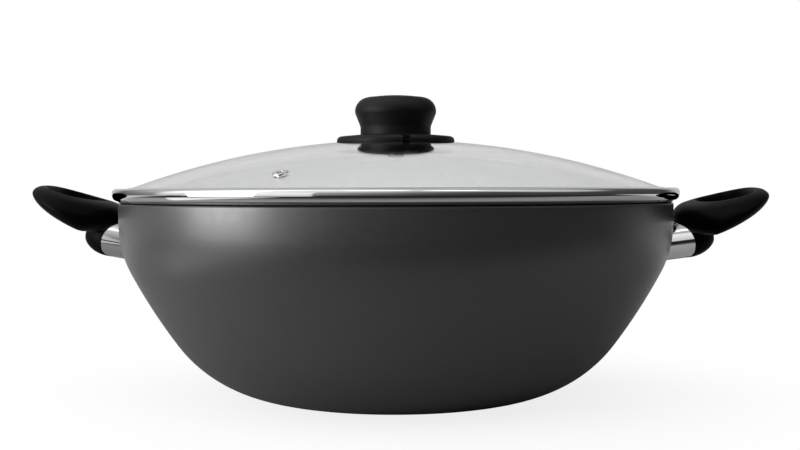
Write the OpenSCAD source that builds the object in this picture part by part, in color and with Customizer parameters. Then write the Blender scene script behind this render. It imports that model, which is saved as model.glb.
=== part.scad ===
/* [Pot] */
// Outer diameter of the rim
rim_d = 325; // [290:1:370]
// Height of the rim above the table
pot_h = 114.4; // [105:0.1:135]
// Thickness of the pot's wall and floor
wall = 2.5; // [1.6:0.1:4]
// Depth below the rim at which the wall stands upright
upright_h = 5; // [3:0.1:10]
// Radius of the bowed band under the rim, wider than the shoulder's
band_r = 160; // [120:5:200]
// Angle from the floor at which the band meets the shoulder, in degrees
band_angle = 86; // [84:0.5:88]
// Radius of the shoulder under the bowed band
shoulder_r = 60; // [40:1:70]
// Slope of the wall below the shoulder, in degrees
shoulder_angle = 62; // [58:0.5:66]
// Radius of the wall's slow bow
bow_r = 330; // [260:5:400]
// Slope of the wall above the base corner, in degrees
corner_angle = 53.5; // [50:0.5:55]
// Number of turned rings in the underside
ring_count = 4; // [2:1:5]
// Width of each turned ring
ring_w = 2.4; // [1:0.1:4]
// Depth of each turned ring
ring_depth = 0.4; // [0.2:0.05:0.8]

/* [Lid] */
// Height of the glass dome's top above the rim
dome_rise = 37.1; // [34:0.1:40]
// Thickness of the glass
glass_t = 4; // [3:0.1:4.5]
// Thickness of the rim's steel sheet
sheet_t = 0.5; // [0.4:0.05:0.7]
// Width of the sheet's lip on the glass, measured inwards from the bead
lip_w = 6.4; // [5:0.1:9]
// Radius of the rim's outer bead
bead_r = 3.3; // [2.8:0.1:3.6]
// Overhang of the bead past the pot's rim
bead_over = 3.5; // [2:0.1:5]
// Depth of the folded skirt inside the pot
fold_h = 5.4; // [3:0.1:8]
// Diameter of the vent's upper flange
vent_d = 8.6; // [7:0.1:11]
// Distance of the vent inwards from the pot's rim
vent_inset = 29.5; // [24:0.5:50]
// Turn of the vent from the front towards the left handle, in degrees
vent_turn = 23; // [0:1:80]

/* [Knob] */
// Largest diameter of the knob
knob_d = 48.6; // [44:0.1:54]
// Height of the knob above its base plate
knob_h = 23.7; // [21:0.1:28]
// Diameter of the knob's neck
neck_d = 42.1; // [38:0.1:43]
// Diameter of the base plate under the knob
plate_d = 70.4; // [62:0.1:80]
// Height of the base plate at the neck, above the glass
plate_h = 3.2; // [3:0.1:6]
// Wall of the base plate
plate_t = 1.7; // [1.2:0.1:2.2]
// Width of the notch in the base plate's edge
notch_w = 4.2; // [2:0.1:8]
// Turn of the notch from the front towards the right handle, in degrees
notch_turn = 13; // [0:1:80]
// Diameter of the domed washer under the glass
under_d = 45; // [36:0.5:55]
// Diameter of the screw that holds the knob
knob_screw_d = 5; // [4:0.1:6]

/* [Handle] */
// Reach of each handle past the pot's rim
handle_reach = 55; // [52:0.5:62]
// Gap between the handle and the rim's outer radius
handle_gap = 2; // [1:0.1:4]
// Width of the loop, along the rim
loop_w = 95.5; // [88:0.5:112]
// Length of the finger hole, away from the pot
hole_l = 30; // [26:0.5:34]
// Width of the finger hole, along the rim
hole_w = 61; // [50:1:66]
// Thickness of the loop at its tip, away from the pot
tip_w = 8.5; // [7.5:0.5:13]
// Height of the loop's crest above the rim
crest_rise = 10.8; // [8:0.1:14]
// Fall of the crest from the tip to the pot side
crest_fall = 12.6; // [10:0.1:16]
// Fall of the crest from the middle of the loop to its sides
crest_arch = 1.6; // [0:0.1:4]
// Depth of the loop's level underside below the rim
belly_drop = 17.6; // [15:0.1:22]
// Rise of the underside from the knee to the tip
belly_rise = 20.6; // [14:0.1:22]
// Lean of the right handle's tip downwards and of the left one's upwards, in degrees
handle_pitch = 1.3; // [-3:0.1:3]
// Twist of the right handle's near side downwards and of the left one's upwards, in degrees
handle_twist = 1.6; // [-3:0.1:3]

/* [Ferrule] */
// Height of the ferrule's oval section
ferrule_h = 21; // [18:0.1:22]
// Width of the ferrule's oval section
ferrule_w = 30; // [26:0.5:36]
// Thickness of the ferrule's steel
ferrule_t = 0.8; // [0.5:0.1:1.2]
// Depth of the ferrule's axis below the rim, at the rim's outer radius
axis_drop = 23.3; // [21:0.1:25]
// Rise of the ferrule's axis away from the pot, in degrees
axis_rise = 9; // [5:0.5:12]
// Diameter of the welded boss inside the ferrule
boss_d = 10; // [8:0.5:13]
// Diameter of the screw that holds the handle
handle_screw_d = 5; // [4:0.1:6]

/* [Hidden] */
$fn = 96;

// Clearances and the one overrun of every cut
over = 1;
weld_gap = 0.05;
fit_gap = 0.1;
screw_gap = 0.05;
rest_gap = 0.3;

// Colours
coat_grey = [0.24, 0.24, 0.25];
steel = [0.78, 0.78, 0.8];
phenolic = [0.07, 0.07, 0.075];
glass_tint = [0.82, 0.86, 0.86, 0.45];
brass = [0.72, 0.58, 0.3];
silicone = [0.6, 0.6, 0.6];

// Centres of the four arcs of the pot's outside, from the band under the rim down
rim_r = rim_d / 2;
band_c = [rim_r - band_r, pot_h - upright_h];
shoulder_c = band_c + (band_r - shoulder_r) * outward(band_angle);
bow_c = shoulder_c + (shoulder_r - bow_r) * outward(shoulder_angle);
corner_r = (bow_c[1] - bow_r * cos(corner_angle)) / (1 - cos(corner_angle));
corner_c = bow_c + (bow_r - corner_r) * outward(corner_angle);
base_r = corner_c[0];
rim_round = wall * 0.42;
arc_steps = 16;
bow_steps = 8;
band_steps = 4;

// Turned rings in the underside, spread over the flat base by shares of its radius
ring_first_share = 0.3;
ring_last_share = 0.88;

// Lid sizes that follow the pot: the glass is a piece of a sphere, through the dome's top
// and through its own edge inside the bead
dome_z = pot_h + dome_rise;
inside_r = rim_r - wall;
bead_lift = 1.1;
bead_c = [rim_r + bead_over - bead_r, pot_h + rest_gap + sheet_t + bead_r + bead_lift];
bead_start = 92;
bead_low = 0.5;
glass_edge_r = bead_c[0] - bead_r * 0.7;
glass_edge_z = bead_c[1] + glass_t * 0.4;
dome_h = dome_z - glass_edge_z;
dome_r = (glass_edge_r * glass_edge_r + dome_h * dome_h) / (2 * dome_h);
dome_c = dome_z - dome_r;
lip_r = bead_c[0] - lip_w;
lip_land = 1;
fold_gap = 0.75;
fold_r = sheet_t * 1.15;
fold_x = inside_r - fold_gap - sheet_t / 2;
grip_w = 7;
dome_steps = 24;

// Vent sizes
vent_t = 0.5;
vent_tube_d = vent_d * 0.6;
vent_bore_d = vent_d * 0.38;
vent_low_d = vent_d * 0.86;
vent_x = rim_r - vent_inset;
vent_tilt = asin(vent_x / dome_r);

// Knob stack, from the dome's top upwards and downwards
plate_r = plate_d / 2;
plate_edge_r = 2.6;
plate_edge_h = 3.6;
plate_z = dome_z + plate_h;
hub_d = 20;
gasket_t = 1;
gasket_d = 18;
crown_angle = 9;
knob_crown_r = 105;
knob_edge_r = 8.4;
knob_under_r = 5;
knob_taper = 22;
insert_d = knob_screw_d * 1.7;
insert_l = 14;
insert_end_gap = 1.5;
knob_hole_l = insert_l + insert_end_gap;
glass_hole_gap = 1;
glass_hole_d = knob_screw_d + 2 * glass_hole_gap;
under_h = 2.3;
under_t = 1.1;
under_well_d = 15;
under_edge_h = 0.6;
spring_t = 0.8;
spring_d = knob_screw_d * 1.8;
knob_head_d = 10.4;
knob_head_h = 2.2;

// Loop of the handle, from the pot side to the tip
crest_share = 0.5;
knee_share = 0.39;
loop_in_x = rim_r + handle_gap;
tip_x = rim_r + handle_reach;
hole_out_x = tip_x - tip_w;
hole_in_x = hole_out_x - hole_l;
hole_mid_x = (hole_in_x + hole_out_x) / 2;
loop_mid_x = (loop_in_x + tip_x) / 2;
loop_l = tip_x - loop_in_x;
crest_z = pot_h + crest_rise;
crest_x = tip_x - tip_w * crest_share;
belly_z = pot_h - belly_drop;
knee_x = hole_mid_x - hole_l * knee_share;
loop_stations = 60;
loop_sides = 24;
full_turn = 360;

// Powers of the rounded outlines: 2 is an ellipse, more is squarer
hole_power = 2.4;
loop_power = 2;
inner_power = 7;
outer_power = 2.3;
crest_power = 0.94;
fall_power = 1.3;
lift_power = 2;
belly_power = 1.04;

// Shares of the section's height by which its outer side falls and lifts
side_fall_share = 0.32;
side_lift_share = 0.12;
pot_side_share = 0.2;

// Leg of the handle, along the ferrule's axis from the rim's outer radius
axis_z = pot_h - axis_drop;
leg_past_hole = 9.5;
leg_end = (hole_in_x + leg_past_hole - rim_r) / cos(axis_rise);
leg_dome_l = 16;
dome_power = 1.8;
leg_rings = 12;
leg_sides = 40;

// Scallop in the leg, seen from the side
scallop_setback = 2;
scallop_x = hole_in_x - scallop_setback;
scallop_r = 13.5;
scallop_toe_r = 5.5;
scallop_toe_share = 0.16;
scallop_rise = 11.6;
scallop_top_z = axis_z + scallop_rise;

// Screwed joint inside the leg
boss_inset = 8.6;
boss_end = leg_end - boss_inset;
boss_hole_l = 13;
socket_gap = 0.2;
seat_inset = 6.2;
seat_l = leg_end - seat_inset;
washer_t = 0.8;
washer_d = handle_screw_d * 1.8;
screw_head_d = handle_screw_d * 1.7;
screw_head_h = 2.8;
screw_l = 14.4;
well_gap = 0.4;

// Shares of a screw head's sizes: its rounded edge, and its cross recess's length and width
head_round_share = 0.6;
drive_share = 0.5;
drive_w_share = 0.12;

// Outward normal of a wall that slopes by angle a from the table
function outward(a) = [sin(a), -cos(a)];

// Points of an arc about c, from angle a to angle b
function arc(c, r, a, b, steps) = [
    for (i = [0 : steps]) let (w = a + (b - a) * i / steps) c + r * [cos(w), sin(w)]
];

// Outside of the pot from the flat base to the upright band, grown by g
function pot_curve(g) = concat(
    arc(corner_c, corner_r + g, -90, corner_angle - 90, arc_steps),
    arc(bow_c, bow_r + g, corner_angle - 90, shoulder_angle - 90, bow_steps),
    arc(shoulder_c, shoulder_r + g, shoulder_angle - 90, band_angle - 90, arc_steps),
    arc(band_c, band_r + g, band_angle - 90, 0, band_steps)
);

function reversed(list) = [for (i = [len(list) - 1 : -1 : 0]) list[i]];

// Height of a sphere of radius r about the dome's centre, at distance x
function dome_height(x, r) = dome_c + sqrt(r * r - x * x);

// Points on that sphere between the distances a and b
function dome_arc(r, a, b, steps) = [
    for (i = [0 : steps]) let (x = a + (b - a) * i / steps) [x, dome_height(x, r)]
];

// Direction of a path at its point i, and the path with a thickness
function heading(path, i) =
    let (d = path[min(i + 1, len(path) - 1)] - path[max(i - 1, 0)]) d / norm(d);
function moved(path, side) = [
    for (i = [0 : len(path) - 1]) let (d = heading(path, i)) path[i] + side * [-d[1], d[0]]
];
function sheet(path, t) = concat(moved(path, t / 2), reversed(moved(path, -t / 2)));

// A signed power, which squares or slims a circle's cosine and sine
function bent(v, p) = sign(v) * pow(abs(v), p);

// Heights of the loop's crest and underside at distance x from the pot's axis
function crest(x) =
    crest_z - crest_fall * pow(max(0, crest_x - x) / (crest_x - loop_in_x), crest_power);
function belly(x) =
    belly_z + belly_rise * pow(max(0, x - knee_x) / (tip_x - knee_x), belly_power);

// Point of the loop at the turn t round the finger hole and the turn s round the section:
// the section runs from the hole's outline to the loop's outline, its top falling outwards
function loop_point(t, s) = let (
    hole = [
        hole_mid_x + hole_l / 2 * bent(cos(t), 2 / hole_power),
        hole_w / 2 * bent(sin(t), 2 / hole_power)
    ],
    edge = [
        loop_mid_x + loop_l / 2 * bent(cos(t), 2 / loop_power),
        loop_w / 2 * bent(sin(t), 2 / loop_power)
    ],
    power = 2 / (cos(s) > 0 ? inner_power : outer_power),
    across = (1 - bent(cos(s), power)) / 2,
    up = (1 + bent(sin(s), power)) / 2,
    plan = hole + across * (edge - hole),
    high = crest(plan[0]) - belly(plan[0]),
    pot_side = pow((1 - cos(t)) / 2, 2),
    fall = side_fall_share * (1 - pot_side * (1 - pot_side_share)),
    arch = crest_arch * pow(plan[1] / (loop_w / 2), 2),
    top = crest(plan[0]) - arch - fall * high * pow(across, fall_power),
    low = belly(plan[0]) + side_lift_share * high * pow(across, lift_power)
) [plan[0], plan[1], low + up * (top - low)];

// Point of an oval of height h and width w at the turn s, in the axis's own frame
function oval_point(h, w, s) = [h / 2 * cos(s), h / 2 * sin(s) + sign(sin(s)) * (w - h) / 2];

// Faces of a tube of rings joined in turn, each with the given number of sides
function band_faces(rings, sides, closed) = [
    for (i = [0 : rings - (closed ? 1 : 2)]) for (j = [0 : sides - 1]) for (k = [0, 1])
        let (a = i * sides, b = (i + 1) % rings * sides, n = (j + 1) % sides)
        k == 0 ? [a + j, b + j, b + n] : [a + j, b + n, a + n]
];

module revolve(points) {
    rotate_extrude($fn = 180) polygon(points);
}

// Puts a piece on the right or the left side, side being 1 or -1
module on_side(side) {
    if (side > 0) children();
    else mirror([1, 0, 0]) children();
}

// Puts a handle's piece on its side, leant and twisted about its place on the pot
module on_pot(side) {
    on_side(side) translate([rim_r, 0, axis_z])
        rotate([side * handle_twist, side * handle_pitch, 0])
        translate([-rim_r, 0, -axis_z]) children();
}

// Frame of the ferrule's axis: z runs outwards along it, x downwards
module on_axis() {
    translate([rim_r, 0, axis_z]) rotate([0, 90 - axis_rise, 0]) children();
}

// Frame of the vent: z is the glass's outward normal
module on_vent() {
    rotate([0, 0, -90 - vent_turn]) translate([0, 0, dome_c]) rotate([0, vent_tilt, 0])
        translate([0, 0, dome_r]) children();
}

// Everything inside the pot's outside, grown by g
module pot_solid(g) {
    revolve(concat([[0, -g]], pot_curve(g), [[rim_r + g, pot_h + over], [0, pot_h + over]]));
}

module pot_body() {
    color(coat_grey) difference() {
        revolve(concat(
            [[0, 0]], pot_curve(0),
            arc([rim_r - rim_round, pot_h - rim_round], rim_round, 0, 90, 6),
            arc([inside_r + rim_round, pot_h - rim_round], rim_round, 90, 180, 6),
            reversed(pot_curve(-wall)), [[0, wall]]
        ));
        for (i = [0 : ring_count - 1]) {
            share = ring_first_share
                + (ring_last_share - ring_first_share) * i / (ring_count - 1);
            rotate_extrude() translate([base_r * share - ring_w / 2, -over])
                square([ring_w, over + ring_depth]);
        }
    }
}

module boss(side) {
    color(steel) difference() {
        on_pot(side) on_axis() difference() {
            translate([0, 0, -boss_d]) cylinder(d = boss_d, h = boss_end + boss_d);
            translate([0, 0, boss_end - boss_hole_l])
                cylinder(d = handle_screw_d + 2 * screw_gap, h = boss_hole_l + over);
        }
        pot_solid(weld_gap);
    }
}

// Oval seen along the ferrule's axis
module oval(h, w) {
    for (s = [-1, 1]) translate([0, s * (w - h) / 2]) circle(d = h);
    square([h, w - h], center = true);
}

// Side outline of the scallop, cut back by g: a large round above and a small toe below
module scallop_outline(g) {
    reach = scallop_x - loop_in_x + ferrule_w;
    big_z = scallop_top_z - scallop_r;
    toe_z = big_z - scallop_r * scallop_toe_share;
    translate([scallop_x - scallop_r, big_z]) circle(r = scallop_r - g);
    translate([scallop_x - scallop_toe_r, toe_z]) circle(r = scallop_toe_r - g);
    translate([scallop_x - reach, toe_z]) square([reach - g, big_z - toe_z]);
    translate([scallop_x - reach, toe_z - ferrule_h])
        square([reach - scallop_toe_r, ferrule_h + over]);
    translate([scallop_x - reach, toe_z])
        square([reach - scallop_r, scallop_top_z - g - toe_z]);
}

module scallop(g) {
    translate([0, loop_w / 2 + over, 0]) rotate([90, 0, 0]) linear_extrude(loop_w + 2 * over)
        scallop_outline(g);
}

module ferrule(side) {
    color(steel) difference() {
        on_pot(side) intersection() {
            on_axis() translate([0, 0, -ferrule_h]) linear_extrude(ferrule_h + leg_end)
                difference() {
                    oval(ferrule_h, ferrule_w);
                    oval(ferrule_h - 2 * ferrule_t, ferrule_w - 2 * ferrule_t);
                }
            scallop(fit_gap);
        }
        pot_solid(weld_gap);
    }
}

// Closed loop round the finger hole
module loop() {
    polyhedron(
        points = [
            for (i = [0 : loop_stations - 1]) for (j = [0 : loop_sides - 1])
                loop_point(full_turn * i / loop_stations, full_turn * j / loop_sides)
        ],
        faces = band_faces(loop_stations, loop_sides, true),
        convexity = 6
    );
}

// Leg with the ferrule's oval section, closed by a dome at its outer end
module leg() {
    start = leg_end - leg_dome_l;
    function dome_share(u) = pow(1 - pow(u, dome_power), 1 / dome_power);
    rings = [for (i = [0 : leg_rings - 1]) sin(90 * i / leg_rings)];
    points = concat(
        [for (j = [0 : leg_sides - 1]) concat(oval_point(ferrule_h, ferrule_w,
            full_turn * (j + 0.5) / leg_sides), [0])],
        [for (u = rings) for (j = [0 : leg_sides - 1])
            concat(dome_share(u) * oval_point(ferrule_h, ferrule_w,
                full_turn * (j + 0.5) / leg_sides), [start + u * leg_dome_l])],
        [[0, 0, leg_end]]
    );
    last = leg_rings * leg_sides;
    on_axis() polyhedron(
        points = points,
        faces = concat(
            band_faces(leg_rings + 1, leg_sides, false),
            [[for (j = [0 : leg_sides - 1]) j]],
            [for (j = [0 : leg_sides - 1])
                [last + j, last + leg_sides, last + (j + 1) % leg_sides]]
        ),
        convexity = 4
    );
}

module handle(side) {
    color(phenolic) on_pot(side) difference() {
        union() {
            loop();
            leg();
        }
        scallop(0);
        on_axis() cylinder(d = boss_d + 2 * socket_gap, h = boss_end + socket_gap);
        on_axis() cylinder(d = handle_screw_d + 2 * socket_gap, h = leg_end);
        on_axis() translate([0, 0, seat_l])
            cylinder(d = washer_d + 2 * well_gap, h = ferrule_w);
    }
}

module handle_washer(side) {
    color(steel) on_pot(side) on_axis() translate([0, 0, seat_l + screw_gap]) difference() {
        cylinder(d = washer_d, h = washer_t);
        translate([0, 0, -over])
            cylinder(d = handle_screw_d + 2 * fit_gap, h = washer_t + 2 * over);
    }
}

// Pan head screw along +z, its head above the plane z = 0 and its shank below
module screw(d, length, head_d, head_h) {
    round_r = head_h * head_round_share;
    difference() {
        union() {
            translate([0, 0, -length]) cylinder(d = d, h = length + head_h / 2);
            rotate_extrude() polygon(concat(
                [[0, 0], [head_d / 2, 0]],
                arc([head_d / 2 - round_r, head_h - round_r], round_r, 0, 90, 6),
                [[0, head_h]]
            ));
        }
        for (a = [0, 90]) rotate([0, 0, a]) translate([0, 0, head_h])
            cube([head_d * drive_share, head_d * drive_w_share, 2 * head_h * drive_share],
                center = true);
    }
}

module handle_screw(side) {
    color(steel) on_pot(side) on_axis()
        translate([0, 0, seat_l + washer_t + 2 * screw_gap])
        screw(handle_screw_d, screw_l, screw_head_d, screw_head_h);
}

module lid_glass() {
    hole_r = glass_hole_d / 2;
    color(glass_tint) difference() {
        revolve(concat(
            reversed(dome_arc(dome_r, hole_r, glass_edge_r, dome_steps)),
            dome_arc(dome_r - glass_t, hole_r,
                glass_edge_r * (dome_r - glass_t) / dome_r, dome_steps)
        ));
        on_vent() translate([0, 0, -glass_t - over])
            cylinder(d = vent_tube_d + 2 * fit_gap, h = glass_t + 2 * over);
    }
}

// Path round the bead from its top to its bottom, the lower half deeper than round
function bead_curve(r, steps) = [
    for (i = [0 : steps]) let (w = bead_start - (bead_start + 90) * i / steps)
        bead_c + [r * cos(w), (r + (w < 0 ? bead_low : 0)) * sin(w)]
];

// Steel sheet crimped over the glass: a lip above, an outer bead, a seat on the pot's rim,
// a folded skirt inside the pot and a lip below
module lid_rim() {
    gap = sheet_t / 2 + fit_gap;
    seat_z = pot_h + rest_gap + sheet_t / 2;
    fold_low = pot_h + rest_gap - fold_h + fold_r;
    grip_x = fold_x - 2 * fold_r;
    path = concat(
        dome_arc(dome_r + gap, lip_r, lip_r + lip_land, 2),
        bead_curve(bead_r - sheet_t / 2, 16),
        [[bead_c[0] - bead_lift, seat_z]],
        arc([fold_x + 2 * fold_r, seat_z - 2 * fold_r], 2 * fold_r, 90, 180, 5),
        arc([fold_x - fold_r, fold_low], fold_r, 0, -180, 8),
        [[grip_x, dome_height(grip_x, dome_r - glass_t - gap) - fold_r]],
        dome_arc(dome_r - glass_t - gap, grip_x - fold_r, grip_x - grip_w, 4)
    );
    color(steel) revolve(sheet(path, sheet_t));
}

module vent_eyelet() {
    color(steel) on_vent() difference() {
        union() {
            translate([0, 0, fit_gap]) cylinder(d = vent_d, h = vent_t);
            translate([0, 0, -glass_t - fit_gap - vent_t])
                cylinder(d = vent_tube_d, h = glass_t + 2 * fit_gap + 2 * vent_t);
            translate([0, 0, -glass_t - fit_gap - vent_t]) cylinder(d = vent_low_d, h = vent_t);
        }
        translate([0, 0, -glass_t - 2 * over])
            cylinder(d = vent_bore_d, h = glass_t + 4 * over);
    }
}

module knob() {
    neck_r = neck_d / 2;
    top_z = plate_z + knob_h;
    edge_c = [
        knob_d / 2 - knob_edge_r,
        top_z - knob_crown_r * (1 - cos(crown_angle)) - knob_edge_r * cos(crown_angle)
    ];
    crown_c = [0, top_z - knob_crown_r];
    under_c = [knob_d / 2 - knob_under_r, edge_c[1]];
    taper_top = under_c + knob_under_r * [cos(knob_taper), -sin(knob_taper)];
    neck_top = taper_top[1] - (taper_top[0] - neck_r) / tan(knob_taper);
    crown_x = edge_c[0] + knob_edge_r * sin(crown_angle);
    color(phenolic) difference() {
        revolve(concat(
            [[0, plate_z + fit_gap], [neck_r, plate_z + fit_gap], [neck_r, neck_top]],
            arc(under_c, knob_under_r, -knob_taper, 0, 4),
            arc(edge_c, knob_edge_r, 0, 90 - crown_angle, 14),
            [for (i = [7 : -1 : 0]) let (x = crown_x * i / 8)
                [x, crown_c[1] + sqrt(knob_crown_r * knob_crown_r - x * x)]]
        ));
        translate([0, 0, plate_z - over])
            cylinder(d = insert_d + 2 * fit_gap, h = knob_hole_l + over);
    }
}

module knob_insert() {
    color(brass) translate([0, 0, plate_z + 2 * fit_gap]) difference() {
        cylinder(d = insert_d, h = insert_l);
        translate([0, 0, -over])
            cylinder(d = knob_screw_d + 2 * screw_gap, h = insert_l + 2 * over);
    }
}

// Shallow cover plate under the knob, hollow below, its edge standing on the glass
module knob_plate() {
    low_z = dome_height(plate_r, dome_r) + fit_gap;
    hub_z = dome_z + gasket_t + 2 * fit_gap;
    shoulder = [plate_r - plate_edge_r, low_z + plate_edge_h - plate_edge_r];
    color(phenolic) difference() {
        revolve(concat(
            [[0, plate_z], [neck_d / 2 + plate_edge_r / 2, plate_z]],
            arc(shoulder, plate_edge_r, 75, 0, 6),
            [
                [plate_r, low_z],
                [plate_r - plate_t, low_z],
                [plate_r - plate_t, low_z + plate_edge_h - plate_t],
                [neck_d / 2, plate_z - plate_t],
                [hub_d / 2, plate_z - plate_t],
                [hub_d / 2, hub_z],
                [0, hub_z]
            ]
        ));
        translate([0, 0, dome_z]) cylinder(d = knob_screw_d + 4 * fit_gap, h = plate_h + over);
        rotate([0, 0, notch_turn - 90])
            translate([plate_r - 2 * plate_t, -notch_w / 2, low_z - over])
            cube([2 * plate_t + over, notch_w, plate_h + 2 * over]);
    }
}

module gasket(z) {
    color(silicone) translate([0, 0, z]) difference() {
        cylinder(d = gasket_d, h = gasket_t);
        translate([0, 0, -over])
            cylinder(d = knob_screw_d + 4 * fit_gap, h = gasket_t + 2 * over);
    }
}

module upper_gasket() {
    gasket(dome_z + fit_gap);
}

module lower_gasket() {
    gasket(dome_z - glass_t - fit_gap - gasket_t);
}

// Shallow black bowl under the glass, with a well for the screw's head
module under_washer() {
    top_z = dome_z - glass_t - 2 * fit_gap - gasket_t;
    rim_z = dome_height(under_d / 2, dome_r - glass_t) - fit_gap;
    low_z = top_z - under_h + gasket_t;
    well_r = under_well_d / 2;
    bowl_w = under_d / 2 - well_r;
    bowl_h = rim_z - under_edge_h - low_z;
    bowl_steps = 10;
    color(phenolic) difference() {
        revolve(concat(
            [[0, top_z], [hub_d / 2, top_z],
             [hub_d / 2, low_z + under_t],
             [well_r + bowl_w / 2, low_z + under_t],
             [under_d / 2 - under_t, rim_z], [under_d / 2, rim_z]],
            [for (i = [0 : bowl_steps]) let (w = 90 * i / bowl_steps)
                [well_r + bowl_w * cos(w), low_z + bowl_h * (1 - sin(w))]],
            [[well_r - under_t, top_z - under_t], [0, top_z - under_t]]
        ));
        translate([0, 0, top_z - under_h])
            cylinder(d = knob_screw_d + 4 * fit_gap, h = under_h + over);
    }
}

// Height of the seat in the domed washer's well
function well_z() = dome_z - glass_t - 2 * fit_gap - gasket_t - under_t;

module spring_washer() {
    color(steel) translate([0, 0, well_z() - screw_gap - spring_t]) difference() {
        cylinder(d = spring_d, h = spring_t);
        translate([0, 0, -over])
            cylinder(d = knob_screw_d + 2 * fit_gap, h = spring_t + 2 * over);
    }
}

module knob_screw() {
    seat = well_z() - spring_t - 2 * screw_gap;
    color(steel) translate([0, 0, seat]) rotate([180, 0, 0])
        screw(knob_screw_d, plate_z + insert_l - seat, knob_head_d, knob_head_h);
}

pot_body();
boss(-1);  // boss_left
boss(1);  // boss_right
ferrule(-1);  // ferrule_left
ferrule(1);  // ferrule_right
handle(-1);  // handle_left
handle(1);  // handle_right
handle_washer(-1);  // handle_washer_left
handle_washer(1);  // handle_washer_right
handle_screw(-1);  // handle_screw_left
handle_screw(1);  // handle_screw_right
lid_glass();
lid_rim();
vent_eyelet();
knob_plate();
knob();
knob_insert();
upper_gasket();
lower_gasket();
under_washer();
spring_washer();
knob_screw();
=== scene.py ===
import math

import bmesh
import bpy
import numpy as np
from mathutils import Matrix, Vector


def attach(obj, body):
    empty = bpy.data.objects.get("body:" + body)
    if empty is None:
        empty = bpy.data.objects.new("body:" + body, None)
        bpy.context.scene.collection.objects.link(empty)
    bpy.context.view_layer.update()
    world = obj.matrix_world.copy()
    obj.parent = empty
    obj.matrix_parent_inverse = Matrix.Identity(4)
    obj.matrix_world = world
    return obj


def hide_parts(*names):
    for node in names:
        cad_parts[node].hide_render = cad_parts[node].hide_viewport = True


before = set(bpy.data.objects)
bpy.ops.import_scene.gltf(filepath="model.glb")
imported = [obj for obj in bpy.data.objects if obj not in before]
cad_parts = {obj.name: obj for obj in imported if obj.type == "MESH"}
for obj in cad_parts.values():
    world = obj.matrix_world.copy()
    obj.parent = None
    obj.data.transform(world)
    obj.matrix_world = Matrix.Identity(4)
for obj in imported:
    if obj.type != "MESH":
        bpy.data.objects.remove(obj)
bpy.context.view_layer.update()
print("frame loaded")

mm = 0.001  # settings are in millimetres and degrees unless a note says otherwise
mergeWithin = 1e-7  # metres between points that become one
usualCrease = 32  # an edge bent by more than this stays sharp
restGap = 0.3  # from the pot's rim up to the lid at rest
fitGap = 0.1  # play between neighbouring pieces


# Degrees to radians, whole arrays too
def rad(degrees):
    return np.asarray(degrees) * math.pi / 180


# Two coordinates turned in their own plane: (a cos t - b sin t, a sin t + b cos t)
def spin(a, b, angle):
    return a * np.cos(angle) - b * np.sin(angle), a * np.sin(angle) + b * np.cos(angle)


# Points of an arc: centre plus radius times (cosine, sine), the angle going from start to end
def arc(centre, radius, start, end, steps):
    angle = rad(np.linspace(start, end, steps + 1))
    return np.column_stack([centre[0] + radius * np.cos(angle), centre[1] + radius * np.sin(angle)])


# A power that keeps the sign, which squares or slims a circle's cosine and sine
def bent(value, power):
    return np.sign(value) * np.abs(value) ** power


# Faces of a grid of points, each point joined to the next in its row and in the next row
def gridFaces(rows, columns, closeRows, closeColumns):
    i, j = np.meshgrid(np.arange(rows if closeRows else rows - 1),
                       np.arange(columns if closeColumns else columns - 1), indexing="ij")
    here, below = i * columns, (i + 1) % rows * columns
    beside = (j + 1) % columns
    return np.stack([here + j, below + j, below + beside, here + beside], -1).reshape(-1, 4)


# Puts a mesh, lamp or camera into the scene
def addObject(name, data):
    thing = bpy.data.objects.new(name, data)
    bpy.context.collection.objects.link(thing)
    return thing


# A mesh's points in metres, one row each
def meshPoints(mesh):
    flat = np.empty(len(mesh.vertices) * 3, np.float32)
    mesh.vertices.foreach_get("co", flat)
    return flat.reshape(-1, 3)


# A mesh object from points in millimetres: doubles merged, normals outwards, smooth with sharp creases
def makePiece(name, points, faces, crease=usualCrease):
    mesh = bpy.data.meshes.new(name)
    mesh.from_pydata((np.asarray(points) * mm).tolist(), [], [list(face) for face in faces])
    work = bmesh.new()
    work.from_mesh(mesh)
    bmesh.ops.remove_doubles(work, verts=work.verts, dist=mergeWithin)
    bmesh.ops.recalc_face_normals(work, faces=work.faces)
    work.to_mesh(mesh)
    work.free()
    mesh.shade_smooth()
    mesh.set_sharp_from_angle(angle=float(rad(crease)))
    return addObject(name, mesh)


# A piece turned from a profile of (radius, height) round the upright axis: (r cos t, r sin t, z).
# An open profile runs from axis to axis, a closed one round the section of a ring
def makeTurned(name, profile, segments, closed=False, place=None, crease=usualCrease):
    t = rad(np.arange(segments) * 360 / segments)
    r, z = np.asarray(profile, float).T
    upright = np.repeat(z[:, None], segments, 1)
    points = np.stack([np.outer(r, np.cos(t)), np.outer(r, np.sin(t)), upright], -1).reshape(-1, 3)
    if place:
        points = place(points)
    return makePiece(name, points, gridFaces(len(r), segments, closed, True), crease)


# A straight bar with the given outline in the xz plane, from y = -half to y = half
def makeBar(name, outline, half):
    count = len(outline)
    x, z = np.asarray(outline, float).T
    points = np.concatenate([np.column_stack([x, np.full(count, side * half), z]) for side in (-1, 1)])
    sides = gridFaces(2, count, False, True).tolist()
    return makePiece(name, points, sides + [list(range(count)), list(range(2 * count - 1, count - 1, -1))])


# Applies a piece's modifiers, and takes away the tools that cut it
def applyModifiers(piece, tools=(), crease=usualCrease):
    graph = bpy.context.evaluated_depsgraph_get()
    mesh = bpy.data.meshes.new_from_object(piece.evaluated_get(graph))
    piece.modifiers.clear()
    piece.data = mesh
    mesh.shade_smooth()
    mesh.set_sharp_from_angle(angle=float(rad(crease)))
    for tool in tools:
        bpy.data.objects.remove(tool)
    return piece


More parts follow.
